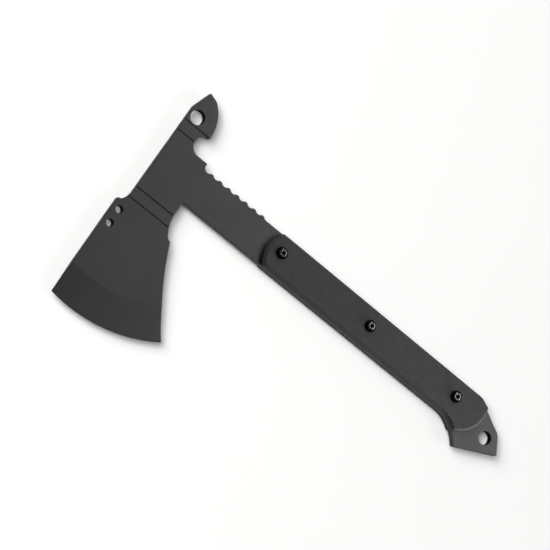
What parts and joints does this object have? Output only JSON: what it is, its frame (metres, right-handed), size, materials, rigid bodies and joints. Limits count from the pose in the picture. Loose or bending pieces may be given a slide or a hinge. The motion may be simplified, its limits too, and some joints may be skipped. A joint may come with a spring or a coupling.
{
  "type": "full-tang hatchet",
  "caption": "One-piece steel hatchet with a bearded blade, hooked rear beak, scalloped thumb grip, bolted grip scales and a pierced, pointed pommel.",
  "frame": {"origin": "bottom centre of the bounding box, with the hatchet lying on its back screw heads", "axes": "+X from the poll towards the pommel, +Y towards the beak's point, away from the cutting edge, +Z out of the front cheek"},
  "size_m": [0.3506, 0.19, 0.0211],
  "materials": {
    "coated_steel": "satin black powder coat",
    "grip_laminate": "machined black glass laminate, matt",
    "black_oxide": "glossy black oxide",
    "sleeve_steel": "plain turned steel"
  },
  "bodies": {
    "root": {"steel_plate": "coated_steel", "front_scale": "grip_laminate", "back_scale": "grip_laminate", "tang_sleeve_1": "sleeve_steel", "tang_sleeve_2": "sleeve_steel", "tang_sleeve_3": "sleeve_steel", "front_screw_1": "black_oxide", "front_screw_2": "black_oxide", "front_screw_3": "black_oxide", "back_screw_1": "black_oxide", "back_screw_2": "black_oxide", "back_screw_3": "black_oxide"}
  },
  "joints": []
}
